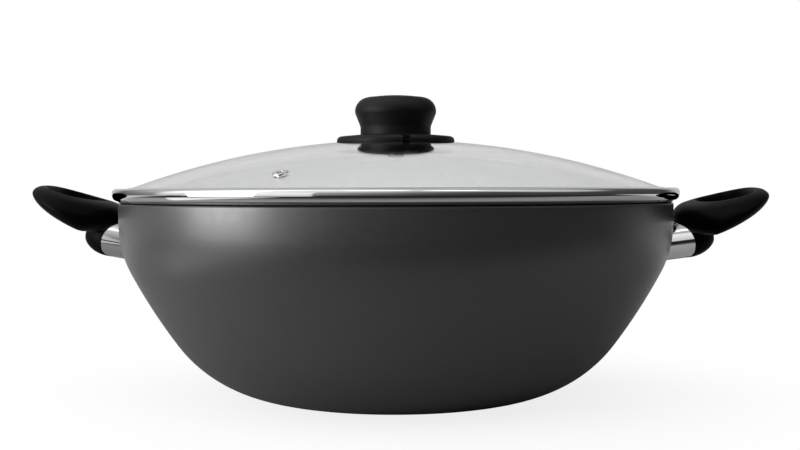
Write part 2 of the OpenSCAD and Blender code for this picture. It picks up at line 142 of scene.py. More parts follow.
# The piece cut by, or kept within, other solids
def carve(piece, tools, crease=usualCrease):
    for tool, operation in tools:
        modifier = piece.modifiers.new("carve", "BOOLEAN")
        modifier.operation = operation
        modifier.solver = "EXACT"
        modifier.object = tool
    return applyModifiers(piece, [tool for tool, operation in tools], crease)


# Puts the finish on a piece, and says what carries it and what it stands for
def dress(piece, finish, body, slot, *nodes):
    piece.data.materials.clear()
    piece.data.materials.append(finish)
    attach(piece, body)
    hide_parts(*nodes)


# sRGB hex to linear: c / 12.92 below 0.04045, else ((c + 0.055) / 1.055) to the power 2.4
def colour(hexText):
    c = np.array([int(hexText[i:i + 2], 16) for i in (1, 3, 5)]) / 255
    linear = np.where(c <= 0.04045, c / 12.92, ((c + 0.055) / 1.055) ** 2.4)
    return (*linear.tolist(), 1.0)


white = colour("#ffffff")


# A new material with nothing in its node tree
def emptyMaterial(name):
    material = bpy.data.materials.new(name)
    material.use_nodes = True
    material.node_tree.nodes.clear()
    return material, material.node_tree


# Adds one node. Settings are its own properties. Inputs are plain values or (node, output) links,
# either a list in the order of its sockets, or a dictionary by their names or places. A Mix node's
# places are 0 for the factor, 2 and 3 for its numbers, and 6 and 7 for its colours
def addNode(tree, kind, inputs=(), **settings):
    node = tree.nodes.new(kind)
    for key, value in settings.items():
        setattr(node, key, value)
    for key, value in inputs.items() if isinstance(inputs, dict) else enumerate(inputs):
        if isinstance(value, tuple) and isinstance(value[0], bpy.types.Node):
            tree.links.new(value[0].outputs[value[1]], node.inputs[key])
        else:
            node.inputs[key].default_value = value
    return node


# A surface: a base colour that wanders between two tones, a roughness that wanders with it, and
# a bump. Mottle is the width of a blotch and grain that of a bump, which is bumpHeight high
def surface(name, tones, roughness, mottle, grain, bumpHeight, **sockets):
    material, tree = emptyMaterial(name)
    where = addNode(tree, "ShaderNodeTexCoord")
    blotch = addNode(tree, "ShaderNodeTexNoise", {
        "Vector": (where, "Object"), "Scale": 1 / (mottle * mm), "Detail": 3, "Roughness": 0.6})
    tint = addNode(tree, "ShaderNodeMix", {
        0: (blotch, "Fac"), 6: colour(tones[0]), 7: colour(tones[1])}, data_type="RGBA")
    rough = addNode(tree, "ShaderNodeMapRange", {
        "Value": (blotch, "Fac"), "From Min": 0.3, "From Max": 0.7,
        "To Min": roughness[0], "To Max": roughness[1]})
    fine = addNode(tree, "ShaderNodeTexNoise", {
        "Vector": (where, "Object"), "Scale": 1 / (grain * mm), "Detail": 2})
    relief = addNode(tree, "ShaderNodeBump", {
        "Height": (fine, "Fac"), "Distance": bumpHeight * mm, "Strength": 1.0})
    skin = addNode(tree, "ShaderNodeBsdfPrincipled", {
        "Base Color": (tint, 2), "Roughness": (rough, "Result"), "Normal": (relief, "Normal"), **sockets})
    addNode(tree, "ShaderNodeOutputMaterial", {"Surface": (skin, "BSDF")})
    return material


# Non-stick coating, sprayed and baked: dark grey and satin, its gloss broken by a faint orange peel
coating = surface(
    "sprayedNonStickCoating", tones=("#353536", "#3c3c3d"), roughness=(0.33, 0.39),
    mottle=3, grain=0.7, bumpHeight=0.004, **{"Specular IOR Level": 0.95})
# Stainless sheet, spun and polished: bright with a slight haze. The polishing lines are finer than
# the render shows, so they are drawn as coarse as this
polishedSteel = surface(
    "polishedStainlessSteel", tones=("#dadadc", "#e2e2e4"), roughness=(0.05, 0.09),
    mottle=6, grain=0.8, bumpHeight=0.0006, Metallic=1.0)
# Stainless tube, drawn to an oval and polished: the same, a tone greyer
drawnSteel = surface(
    "drawnStainlessSteel", tones=("#bcbcbe", "#c6c6c8"), roughness=(0.05, 0.09),
    mottle=6, grain=0.8, bumpHeight=0.0006, Metallic=1.0)
# Plain stainless stock as it was rolled or cut: greyer and satin, its tool marks drawn coarser
plainSteel = surface(
    "satinStainlessSteel", tones=("#a9a9ab", "#b6b6b8"), roughness=(0.28, 0.36),
    mottle=4, grain=0.4, bumpHeight=0.002, Metallic=1.0)
# Phenolic resin, compression-moulded: near black and satin, its grain drawn as coarse as it shows
phenolic = surface(
    "mouldedPhenolic", tones=("#060606", "#090909"), roughness=(0.5, 0.56),
    mottle=5, grain=0.5, bumpHeight=0.004, **{"Specular IOR Level": 0.24})
# The same resin for the handles, duller and a deeper black: painted shade, a darker copy of the knob's resin
# that stands in for the shade the handles lie in
shadedPhenolic = surface(
    "phenolicPaintedShade", tones=("#020202", "#040404"), roughness=(0.46, 0.52),
    mottle=5, grain=0.5, bumpHeight=0.004, **{"Specular IOR Level": 0.05})
# The same resin under the glass, shinier as from a polished mould, and a lighter black: painted light, a
# lighter copy that stands in for the light reaching it through the glass
phenolicPaintedLight = surface(
    "phenolicPaintedLight", tones=("#2c2c2c", "#333333"), roughness=(0.25, 0.3),
    mottle=4, grain=0.5, bumpHeight=0.002)
# Brass, turned on a lathe: slightly dulled, its cutter's marks drawn coarser than they are
brass = surface(
    "machinedBrass", tones=("#b08a48", "#bb9550"), roughness=(0.22, 0.3),
    mottle=4, grain=0.4, bumpHeight=0.002, Metallic=1.0)
# Silicone, cut from calendered sheet: grey and matt, with a fine skin
silicone = surface(
    "matteSilicone", tones=("#8f8f8d", "#999997"), roughness=(0.55, 0.65),
    mottle=3, grain=0.4, bumpHeight=0.004)


# Clear glass whose faces have waves of a given width and height
def clearSurface(name, tint, roughness, wave, waveHeight):
    material, tree = emptyMaterial(name)
    where = addNode(tree, "ShaderNodeTexCoord")
    ripple = addNode(tree, "ShaderNodeTexNoise", {
        "Vector": (where, "Object"), "Scale": 1 / (wave * mm), "Detail": 1})
    relief = addNode(tree, "ShaderNodeBump", {
        "Height": (ripple, "Fac"), "Distance": waveHeight * mm, "Strength": 1.0})
    skin = addNode(tree, "ShaderNodeBsdfPrincipled", {
        "Base Color": colour(tint), "Roughness": roughness, "IOR": 1.5,
        "Transmission Weight": 1.0, "Normal": (relief, "Normal")})
    addNode(tree, "ShaderNodeOutputMaterial", {"Surface": (skin, "BSDF")})
    return material


# Glass, sagged to a dome and tempered: clear, a trace of grey, faintly wavy from the furnace
temperedGlass = clearSurface("temperedGlass", tint="#fafbfb", roughness=0.0, wave=30, waveHeight=0.02)
print("materials made")


pot = {
    "rimDiameter": 325, "height": 114.4, "wall": 2.5, "upright": 5, "bandRadius": 160, "bandAngle": 86,
    "shoulderRadius": 60, "shoulderAngle": 62, "bowRadius": 330, "cornerAngle": 53.5,
    "cornerSteps": 24, "bowSteps": 12, "shoulderSteps": 24, "bandSteps": 8,
    "rimRoundShare": 0.42, "rimSteps": 8,
    "rings": 4, "ringWidth": 2.4, "ringDepth": 0.4, "ringSlope": 0.2, "ringShares": (0.3, 0.88),
    "segments": 360, "crease": 50,
}
rimR = pot["rimDiameter"] / 2
potH = pot["height"]


# Outward normal of a wall that slopes by an angle from the table
def outward(angle):
    return np.array([math.sin(rad(angle)), -math.cos(rad(angle))])


# Centres of the four arcs, each on the normal where it meets the next, and the last one's radius,
# with which it touches the table
bandC = np.array([rimR - pot["bandRadius"], potH - pot["upright"]])
shoulderC = bandC + (pot["bandRadius"] - pot["shoulderRadius"]) * outward(pot["bandAngle"])
bowC = shoulderC + (pot["shoulderRadius"] - pot["bowRadius"]) * outward(pot["shoulderAngle"])
cornerCos = math.cos(rad(pot["cornerAngle"]))
cornerR = (bowC[1] - pot["bowRadius"] * cornerCos) / (1 - cornerCos)
cornerC = bowC + (pot["bowRadius"] - cornerR) * outward(pot["cornerAngle"])


# The pot's outside from the flat base up, moved outwards by grow: four arcs that meet smoothly
def potCurve(grow):
    low, high, band = (pot[name] - 90 for name in ("cornerAngle", "shoulderAngle", "bandAngle"))
    return np.concatenate([
        arc(cornerC, cornerR + grow, -90, low, pot["cornerSteps"])[:-1],
        arc(bowC, pot["bowRadius"] + grow, low, high, pot["bowSteps"])[:-1],
        arc(shoulderC, pot["shoulderRadius"] + grow, high, band, pot["shoulderSteps"])[:-1],
        arc(bandC, pot["bandRadius"] + grow, band, 0, pot["bandSteps"])])


# Profile of the pot: base with its turned rings, outside, rounded rim, inside
def potProfile():
    half, slope, depth = pot["ringWidth"] / 2, pot["ringSlope"], pot["ringDepth"]
    base = [[0, 0]]
    for share in np.linspace(*pot["ringShares"], pot["rings"]):
        r = cornerC[0] * share
        base += [[r - half, 0], [r - half + slope, depth], [r + half - slope, depth], [r + half, 0]]
    roundR = pot["wall"] * pot["rimRoundShare"]
    top = potH - roundR
    return np.concatenate([
        base, potCurve(0), [[rimR, (potH - pot["upright"] + top) / 2]],
        arc((rimR - roundR, top), roundR, 0, 90, pot["rimSteps"]),
        arc((rimR - pot["wall"] + roundR, top), roundR, 90, 180, pot["rimSteps"]),
        potCurve(-pot["wall"])[::-1], [[0, pot["wall"]]]])


potShell = makeTurned("potShell", potProfile(), pot["segments"], crease=pot["crease"])
dress(potShell, coating, "pot", "coated_aluminium", "pot_body")
print("pot made")


dome = {"rise": 37.1, "wall": 4, "edgeShare": 0.7, "edgeRise": 0.4, "hole": 3.5, "steps": 60, "segments": 480}
rim = {
    "sheet": 0.5, "lipWidth": 6.4, "lipLand": 1, "beadRadius": 3.3, "beadOver": 3.5, "beadLift": 1.1,
    "beadStart": 92, "beadLow": 0.5, "beadPower": 3.2, "foldHeight": 5.4, "foldGap": 0.75,
    "foldShare": 1.15, "gripWidth": 7, "lipSteps": 3, "beadSteps": 56, "seatSteps": 8, "foldSteps": 14,
    "gripSteps": 6, "segments": 480, "crease": 60,
}
domeTop = potH + dome["rise"]
beadC = np.array([rimR + rim["beadOver"] - rim["beadRadius"],
                  potH + restGap + rim["sheet"] + rim["beadRadius"] + rim["beadLift"]])
# Radius of a sphere from half its chord c and its rise h: (c^2 + h^2) / 2h
glassEdge = beadC[0] - rim["beadRadius"] * dome["edgeShare"]
glassRise = domeTop - beadC[1] - dome["wall"] * dome["edgeRise"]
domeR = (glassEdge ** 2 + glassRise ** 2) / (2 * glassRise)
domeC = domeTop - domeR
innerR = domeR - dome["wall"]


# Height of a sphere of radius r about the dome's centre, at distance x from the axis
def domeHeight(x, r):
    return domeC + np.sqrt(r * r - np.asarray(x) ** 2)


# Points on that sphere between two distances from the axis
def domeArc(r, start, end, steps):
    x = np.linspace(start, end, steps + 1)
    return np.column_stack([x, domeHeight(x, r)])


vent = {"inset": 29.5, "turn": 23, "diameter": 8.6, "flange": 0.5, "tubeShare": 0.6, "boreShare": 0.38,
        "lowShare": 0.86, "round": 0.4, "roundSteps": 6, "segments": 72}
tubeR = vent["diameter"] * vent["tubeShare"] / 2


# To the vent's place: up by the dome's radius, tilted out about the dome's centre, so that it stands
# on the glass, then turned about the upright axis from the right to the front and on to the left
def onVent(points):
    x, y, z = points.T
    up, out = spin(z + domeR, x, math.asin((rimR - vent["inset"]) / domeR))
    x, y = spin(out, y, rad(-90 - vent["turn"]))
    return np.column_stack([x, y, up + domeC])


glassDome = makeTurned("glassDome", np.concatenate([
    domeArc(domeR, glassEdge, dome["hole"], dome["steps"]),
    domeArc(innerR, dome["hole"], glassEdge * innerR / domeR, dome["steps"])]), dome["segments"], closed=True)
holeR, holeLow, holeTop = tubeR + fitGap, -2 * dome["wall"], dome["wall"]
ventHole = makeTurned("ventHole", [[0, holeLow], [holeR, holeLow], [holeR, holeTop], [0, holeTop]],
                      vent["segments"], place=onVent)
carve(glassDome, [(ventHole, "DIFFERENCE")])
dress(glassDome, temperedGlass, "lid", "glass", "lid_glass")
print("glass made")


# A path thickened to a sheet: each point moved along its normal by half the sheet, both ways
def sheetProfile(path, thickness):
    step = np.roll(path, -1, 0) - np.roll(path, 1, 0)
    step[0], step[-1] = path[1] - path[0], path[-1] - path[-2]
    heading = step / np.linalg.norm(step, axis=1, keepdims=True)
    normal = np.column_stack([-heading[:, 1], heading[:, 0]])
    return np.concatenate([path + normal * thickness / 2, (path - normal * thickness / 2)[::-1]])


# Steel sheet crimped over the glass: lip on the dome, outer bead, which is squared above its middle
# as a superellipse is and stretched below it, seat over the pot's rim, folded skirt, grip below the glass
def rimProfile():
    sheet, bead = rim["sheet"], rim["beadRadius"] - rim["sheet"] / 2
    gap = sheet / 2 + fitGap
    seatZ = potH + restGap + sheet / 2
    foldR = sheet * rim["foldShare"]
    foldX = rimR - pot["wall"] - rim["foldGap"] - sheet / 2
    foldLow = potH + restGap - rim["foldHeight"] + foldR
    gripX = foldX - 2 * foldR
    lipR = beadC[0] - rim["lipWidth"]
    outer = arc((0, 0), bead, rim["beadStart"], -90, rim["beadSteps"])
    square = bead * bent(outer / bead, 2 / rim["beadPower"])
    outer = np.where(outer[:, 1:] < 0, outer * (1, 1 + rim["beadLow"] / bead), square)
    path = np.concatenate([
        domeArc(domeR + gap, lipR, lipR + rim["lipLand"], rim["lipSteps"]), beadC + outer,
        [[beadC[0] - rim["beadLift"], seatZ]],
        arc((foldX + 2 * foldR, seatZ - 2 * foldR), 2 * foldR, 90, 180, rim["seatSteps"]),
        arc((foldX - foldR, foldLow), foldR, 0, -180, rim["foldSteps"]),
        [[gripX, domeHeight(gripX, innerR - gap) - foldR]],
        domeArc(innerR - gap, gripX - foldR, gripX - rim["gripWidth"], rim["gripSteps"])])
    return sheetProfile(path, sheet)


crimpedRim = makeTurned("crimpedRim", rimProfile(), rim["segments"], closed=True, crease=rim["crease"])
dress(crimpedRim, polishedSteel, "lid", "polished_steel", "lid_rim")


# Eyelet pressed into the vent: rounded upper flange, tube with its bore, lower flange
def eyeletProfile():
    flange, r, small = vent["flange"], vent["diameter"] / 2, vent["round"]
    low, bore = -dome["wall"] - fitGap - flange, r * vent["boreShare"]
    lowR, top = r * vent["lowShare"], fitGap + flange
    return np.concatenate([
        [[bore, low], [lowR, low], [lowR, low + flange], [tubeR, low + flange], [tubeR, fitGap], [r, fitGap]],
        arc((r - small, top - small), small, 0, 90, vent["roundSteps"]),
        arc((bore + small, top - small), small, 90, 180, vent["roundSteps"])])


ventEyelet = makeTurned("ventEyelet", eyeletProfile(), vent["segments"], closed=True, place=onVent)
dress(ventEyelet, polishedSteel, "lid", "polished_steel", "vent_eyelet")
print("rim and vent made")


# Shared by the knob, the plate below it and the bowl-shaped washer under the glass
stack = {"plateTop": 3.2, "hub": 20, "gasket": 1, "screwHole": 2.7, "segments": 240}
knob = {
    "diameter": 48.6, "height": 23.7, "neck": 42.1, "crownAngle": 9, "crownRadius": 105, "edgeRadius": 8.4,
    "underRadius": 5, "taper": 22, "holeRadius": 4.35, "holeDepth": 15.5,
    "neckFillet": ((0, -0.6), (0.08, -0.2), (0.22, 0.4)),  # out and up from where neck and taper cross
    "underSteps": 8, "edgeSteps": 30, "crownSteps": 16,
}
plateZ = domeTop + stack["plateTop"]


# Knob from its underside round the outside: neck, taper, round edge, crown, and the insert's hole
def knobProfile():
    neck, top = knob["neck"] / 2, plateZ + knob["height"]
    crown, edge, under = knob["crownRadius"], knob["edgeRadius"], knob["underRadius"]
    tilt, taper = rad(knob["crownAngle"]), rad(knob["taper"])
    edgeC = (knob["diameter"] / 2 - edge, top - crown * (1 - math.cos(tilt)) - edge * math.cos(tilt))
    underC = (knob["diameter"] / 2 - under, edgeC[1])
    lip = (underC[0] + under * math.cos(taper), underC[1] - under * math.sin(taper))
    neckTop = lip[1] - (lip[0] - neck) / math.tan(taper)
    low = plateZ + fitGap
    holeTop = low + knob["holeDepth"]
    return np.concatenate([
        [[0, holeTop], [knob["holeRadius"], holeTop], [knob["holeRadius"], low], [neck, low]],
        np.add((neck, neckTop), knob["neckFillet"]),
        arc(underC, under, -knob["taper"], 0, knob["underSteps"])[:-1],
        arc(edgeC, edge, 0, 90 - knob["crownAngle"], knob["edgeSteps"]),
        arc((0, top - crown), crown, 90 - knob["crownAngle"], 90, knob["crownSteps"])[1:]])


turnedKnob = makeTurned("turnedKnob", knobProfile(), stack["segments"])
dress(turnedKnob, phenolic, "lid", "phenolic", "knob")

plate = {"diameter": 70.4, "wall": 1.7, "edgeRadius": 2.6, "edgeHeight": 3.6, "edgeAngle": 75,
         "edgeSteps": 10, "notch": 4.2, "notchTurn": 13, "notchReach": 10}


# Cover plate under the knob, hollow below, its edge standing on the glass
def plateProfile():
    r, wall, edge = plate["diameter"] / 2, plate["wall"], plate["edgeRadius"]
    neck, hub = knob["neck"] / 2, stack["hub"] / 2
    low = float(domeHeight(r, domeR)) + fitGap
    edgeTop = low + plate["edgeHeight"]
    hubLow = domeTop + stack["gasket"] + 2 * fitGap
    return np.concatenate([
        [[stack["screwHole"], plateZ], [neck + edge / 2, plateZ]],
        arc((r - edge, edgeTop - edge), edge, plate["edgeAngle"], 0, plate["edgeSteps"]),
        [[r, low], [r - wall, low], [r - wall, edgeTop - wall], [neck, plateZ - wall],
         [hub, plateZ - wall], [hub, hubLow], [stack["screwHole"], hubLow]]])


# Upright block that cuts the notch into the plate's edge
def notchBlock():
    out, half, reach = plate["diameter"] / 2, plate["notch"] / 2, 2 * plate["wall"]
    heights = (domeTop - plate["notchReach"], plateZ + plate["notchReach"])
    corners = [(x, y, z) for x in (out - reach, out + reach) for y in (-half, half) for z in heights]
    x, y, z = np.array(corners).T
    x, y = spin(x, y, rad(plate["notchTurn"] - 90))
    faces = [[0, 1, 3, 2], [4, 6, 7, 5], [0, 4, 5, 1], [2, 3, 7, 6], [0, 2, 6, 4], [1, 5, 7, 3]]
    return makePiece("notchBlock", np.column_stack([x, y, z]), faces)


coverPlate = makeTurned("coverPlate", plateProfile(), stack["segments"], closed=True)
carve(coverPlate, [(notchBlock(), "DIFFERENCE")])
dress(coverPlate, phenolic, "lid", "phenolic", "knob_plate")

bowl = {"diameter": 45, "height": 2.3, "wall": 1.1, "well": 15, "edge": 0.6, "steps": 24}


# Bowl-shaped washer under the glass: an elliptic quarter from its rim to the well of the screw
def bowlProfile():
    wall, hub, hole = bowl["wall"], stack["hub"] / 2, stack["screwHole"]
    r, well = bowl["diameter"] / 2, bowl["well"] / 2
    top = domeTop - dome["wall"] - 2 * fitGap - stack["gasket"]
    edgeZ = float(domeHeight(r, innerR)) - fitGap
    low = top - bowl["height"] + stack["gasket"]
    quarter = rad(np.linspace(0, 90, bowl["steps"] + 1))
    curve = np.column_stack([well + (r - well) * np.cos(quarter),
                             low + (edgeZ - bowl["edge"] - low) * (1 - np.sin(quarter))])
    return np.concatenate([
        [[hole, top], [hub, top], [hub, low + wall], [well + (r - well) / 2, low + wall],
         [r - wall, edgeZ], [r, edgeZ]], curve, [[well - wall, top - wall], [hole, top - wall]]])


underBowl = makeTurned("underBowl", bowlProfile(), stack["segments"], closed=True)
# The washer wears a lighter copy of the resin: painted light
dress(underBowl, phenolicPaintedLight, "lid", "phenolic", "under_washer")
print("knob made")


ferrule = {"height": 21, "width": 30, "wall": 0.8, "axisDrop": 23.3, "axisRise": 9, "weldGap": 0.05,
           "sides": 160, "potSides": 720, "potBelow": 5, "potAbove": 20}
loop = {
    "reach": 55, "gap": 2, "width": 95.5, "holeLength": 30, "holeWidth": 61, "tip": 8.5,
    "crestRise": 10.8, "crestFall": 12.6, "crestArch": 1.6, "crestShare": 0.5, "crestPower": 0.94,
    "bellyDrop": 17.6, "bellyRise": 20.6, "kneeShare": 0.39, "bellyPower": 1.04,
    "holePower": 2.4, "loopPower": 2, "innerPower": 7, "outerPower": 2.3,
    "fallShare": 0.32, "fallPower": 1.3, "liftShare": 0.12, "liftPower": 2, "potSideShare": 0.2,
    "stations": 260, "sides": 110,
}
leg = {"pastHole": 9.5, "dome": 16, "power": 1.8, "sides": 96, "steps": 32}
tipX = rimR + loop["reach"]
loopInX = rimR + loop["gap"]
holeOutX = tipX - loop["tip"]
holeInX = holeOutX - loop["holeLength"]
holeMidX = (holeInX + holeOutX) / 2
axisZ = potH - ferrule["axisDrop"]
legEnd = (holeInX + leg["pastHole"] - rimR) / math.cos(rad(ferrule["axisRise"]))


# Height of the loop's top at distance x: level by the tip, then falling to the pot by a power
def crest(x):
    start = tipX - loop["tip"] * loop["crestShare"]
    share = np.maximum(0, start - x) / (start - loopInX)
    return potH + loop["crestRise"] - loop["crestFall"] * share ** loop["crestPower"]


# Height of its underside: level by the pot, then rising to the tip by a power
def belly(x):
    knee = holeMidX - loop["holeLength"] * loop["kneeShare"]
    share = np.maximum(0, x - knee) / (tipX - knee)
    return potH - loop["bellyDrop"] + loop["bellyRise"] * share ** loop["bellyPower"]


# Superellipse in plan: centre plus half sizes times the powered cosine and sine
def planOval(centre, length, width, power, t):
    return centre + length / 2 * bent(np.cos(t), 2 / power), width / 2 * bent(np.sin(t), 2 / power)


# Loop: for a turn t round the hole and s round the section, a point between the hole's outline and
# the loop's outline, and between an underside and a top that falls outwards
def loopPoints():
    t = rad(np.arange(loop["stations"]) * 360 / loop["stations"])[:, None]
    s = rad(np.arange(loop["sides"]) * 360 / loop["sides"])[None, :]
    hx, hy = planOval(holeMidX, loop["holeLength"], loop["holeWidth"], loop["holePower"], t)
    ex, ey = planOval((loopInX + tipX) / 2, tipX - loopInX, loop["width"], loop["loopPower"], t)
    power = 2 / np.where(np.cos(s) > 0, loop["innerPower"], loop["outerPower"])
    across = (1 - bent(np.cos(s), power)) / 2
    up = (1 + bent(np.sin(s), power)) / 2
    x, y = hx + across * (ex - hx), hy + across * (ey - hy)
    high = crest(x) - belly(x)
    potSide = ((1 - np.cos(t)) / 2) ** 2
    fall = loop["fallShare"] * (1 - potSide * (1 - loop["potSideShare"]))
    top = crest(x) - loop["crestArch"] * (y / (loop["width"] / 2)) ** 2
    top = top - fall * high * across ** loop["fallPower"]
    low = belly(x) + loop["liftShare"] * high * across ** loop["liftPower"]
    return np.stack([x, y, low + up * (top - low)], -1)


# Oval section across the ferrule's axis: two half circles apart, x downwards and y along the rim
def ovalPoints(height, width, s):
    return height / 2 * np.cos(s), height / 2 * np.sin(s) + np.sign(np.sin(s)) * (width - height) / 2


# Angles round an oval section, from half a step on, so that none falls between its half circles
def halfStepAngles(sides):
    return rad((np.arange(sides) + 0.5) * 360 / sides)[None, :]


# From the ferrule's own frame, z outwards along its axis and x down, to the row frame
def onAxis(x, y, z):
    tilt = rad(90 - ferrule["axisRise"])
    return np.stack([rimR + x * math.cos(tilt) + z * math.sin(tilt), y + 0 * x,
                     axisZ - x * math.sin(tilt) + z * math.cos(tilt)], -1)


# Leg: the oval section, then a dome whose section shrinks as (1 - u^p)^(1/p)
def legPoints():
    u = np.sin(rad(np.linspace(0, 90, leg["steps"] + 1)))[:, None]
    share = np.concatenate([[[1]], (1 - u ** leg["power"]) ** (1 / leg["power"])])
    along = np.concatenate([[[0]], legEnd - leg["dome"] * (1 - u)])
    x, y = ovalPoints(ferrule["height"], ferrule["width"], halfStepAngles(leg["sides"]))
    return onAxis(share * x, share * y, along + 0 * x)


scallop = {"setback": 4, "radius": 13.5, "rise": 11.6, "toeRadius": 5.5, "toeShare": 0.16, "toeEnd": -80,
           "steps": 24, "toeSteps": 16}


# Side outline of the scallop: a large round above, a small toe below, both cut back by shrink
def scallopOutline(shrink):
    right, bigR, toeR = holeInX - scallop["setback"], scallop["radius"], scallop["toeRadius"]
    bigZ = axisZ + scallop["rise"] - bigR
    toeZ = bigZ - bigR * scallop["toeShare"]
    left, floorZ = right - 3 * bigR, toeZ - ferrule["height"]  # well inside the pot and below the leg
    return np.concatenate([
        [[left, bigZ + bigR - shrink]], arc((right - bigR, bigZ), bigR - shrink, 90, 0, scallop["steps"]),
        arc((right - toeR, toeZ), toeR - shrink, 0, scallop["toeEnd"], scallop["toeSteps"]),
        [[right - toeR, floorZ], [left, floorZ]]])


bore = {"bossRadius": 5.2, "bossInset": 8.4, "screwRadius": 2.7, "seatInset": 6.2, "wellRadius": 4.9,
        "wellReach": 30, "sides": 48}


# A round bar along the ferrule's axis: (r cos s, r sin s) from start to end
def axisBar(name, radius, start, end):
    s = rad(np.arange(bore["sides"]) * 360 / bore["sides"])[None, :]
    r = np.array([[0], [radius], [radius], [0]])
    z = np.array([[start], [start], [end], [end]])
    points = onAxis(r * np.cos(s), r * np.sin(s), z + 0 * s)
    return makePiece(name, points.reshape(-1, 3), gridFaces(4, bore["sides"], False, True))


handle = {"pitch": 1.3, "twist": 1.6, "voxel": 0.6, "smoothing": 6, "smoothShare": 0.5, "crease": 40}


# Loop and leg in one mesh, remeshed and smoothed so that they flow together, then cut
def makeHandle():
    ring, stem = loopPoints(), legPoints()
    first = ring.shape[0] * ring.shape[1]  # number of the leg's first point
    stemFaces = gridFaces(stem.shape[0], stem.shape[1], False, True) + first
    stemEnd = list(range(first, first + stem.shape[1]))
    faces = gridFaces(ring.shape[0], ring.shape[1], True, True).tolist() + stemFaces.tolist() + [stemEnd]
    piece = makePiece("handlePlain", np.concatenate([ring.reshape(-1, 3), stem.reshape(-1, 3)]), faces)
    remesh = piece.modifiers.new("flow", "REMESH")
    remesh.mode = "VOXEL"
    remesh.voxel_size = handle["voxel"] * mm
    smooth = piece.modifiers.new("smooth", "SMOOTH")
    smooth.factor, smooth.iterations = handle["smoothShare"], handle["smoothing"]
    applyModifiers(piece)
    seat = legEnd - bore["seatInset"]
    tools = [makeBar("scallop", scallopOutline(0), loop["width"]),
             axisBar("socket", bore["bossRadius"], 0, legEnd - bore["bossInset"]),
             axisBar("screwHole", bore["screwRadius"], 0, legEnd),
             axisBar("screwWell", bore["wellRadius"], seat, legEnd + bore["wellReach"])]
    return carve(piece, [(tool, "DIFFERENCE") for tool in tools], handle["crease"])


# A copy of a piece on its side of the pot: twisted about the x axis and leant about the y axis, both
# through the point where the ferrule's axis meets the pot's side, by opposite angles on the two
# sides, then mirrored for the left
def onPot(piece, name, side):
    mesh = piece.data.copy()
    mesh.name = name
    x, y, z = (meshPoints(mesh) / mm - (rimR, 0, axisZ)).T
    y, z = spin(y, z, side * rad(handle["twist"]))
    z, x = spin(z, x, side * rad(handle["pitch"]))
    placed = np.column_stack([side * (x + rimR), y, z + axisZ]) * mm
    mesh.vertices.foreach_set("co", placed.astype(np.float32).ravel())
    if side < 0:
        mesh.flip_normals()
    mesh.update()
    return addObject(name, mesh)


handlePlain = makeHandle()
handleRight = onPot(handlePlain, "handleRight", 1)
handleLeft = onPot(handlePlain, "handleLeft", -1)
bpy.data.objects.remove(handlePlain)
# The handles wear a darker copy of the resin: painted shade
dress(handleRight, shadedPhenolic, "pot", "phenolic", "handle_right")
dress(handleLeft, shadedPhenolic, "pot", "phenolic", "handle_left")
print("handles made", len(handleRight.data.polygons))


# Ferrule: an oval tube along the axis, ended by the pot's side and by the handle's scallop
def makeFerrule(name, side):
    h, w, wall = ferrule["height"], ferrule["width"], ferrule["wall"]
    s = halfStepAngles(ferrule["sides"])
    outer, inner = ovalPoints(h, w, s), ovalPoints(h - 2 * wall, w - 2 * wall, s)
    rows = [(outer, -h / 2), (outer, legEnd), (inner, legEnd), (inner, -h / 2)]
    points = np.concatenate([onAxis(x, y, z + 0 * x) for (x, y), z in rows])
    tube = makePiece("tube", points.reshape(-1, 3), gridFaces(4, ferrule["sides"], True, True))
    weldGap, top = ferrule["weldGap"], potH + ferrule["potAbove"]
    potOutline = np.concatenate([
        [[0, -ferrule["potBelow"]]], potCurve(weldGap), [[rimR + weldGap, top], [0, top]]])
    potSolid = makeTurned("potSolid", potOutline, ferrule["potSides"])
    carve(tube, [(makeBar("scallop", scallopOutline(fitGap), w), "INTERSECT")])
    placed = onPot(tube, name, side)
    bpy.data.objects.remove(tube)
    return carve(placed, [(potSolid, "DIFFERENCE")])


ferruleRight = makeFerrule("ferruleRight", 1)
ferruleLeft = makeFerrule("ferruleLeft", -1)
dress(ferruleRight, drawnSteel, "pot", "polished_steel", "ferrule_right")
dress(ferruleLeft, drawnSteel, "pot", "polished_steel", "ferrule_left")
print("ferrules made")


# Solids of the frame that show as they are
keptSolids = [
    (plainSteel, ["boss_left", "boss_right", "handle_washer_left", "handle_washer_right",
                  "handle_screw_left", "handle_screw_right", "spring_washer", "knob_screw"]),
    (brass, ["knob_insert"]),
    (silicone, ["upper_gasket", "lower_gasket"]),
]
for finish, names in keptSolids:
    for name in names:
        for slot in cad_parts[name].material_slots:
            slot.material = finish
print("kept solids dressed")


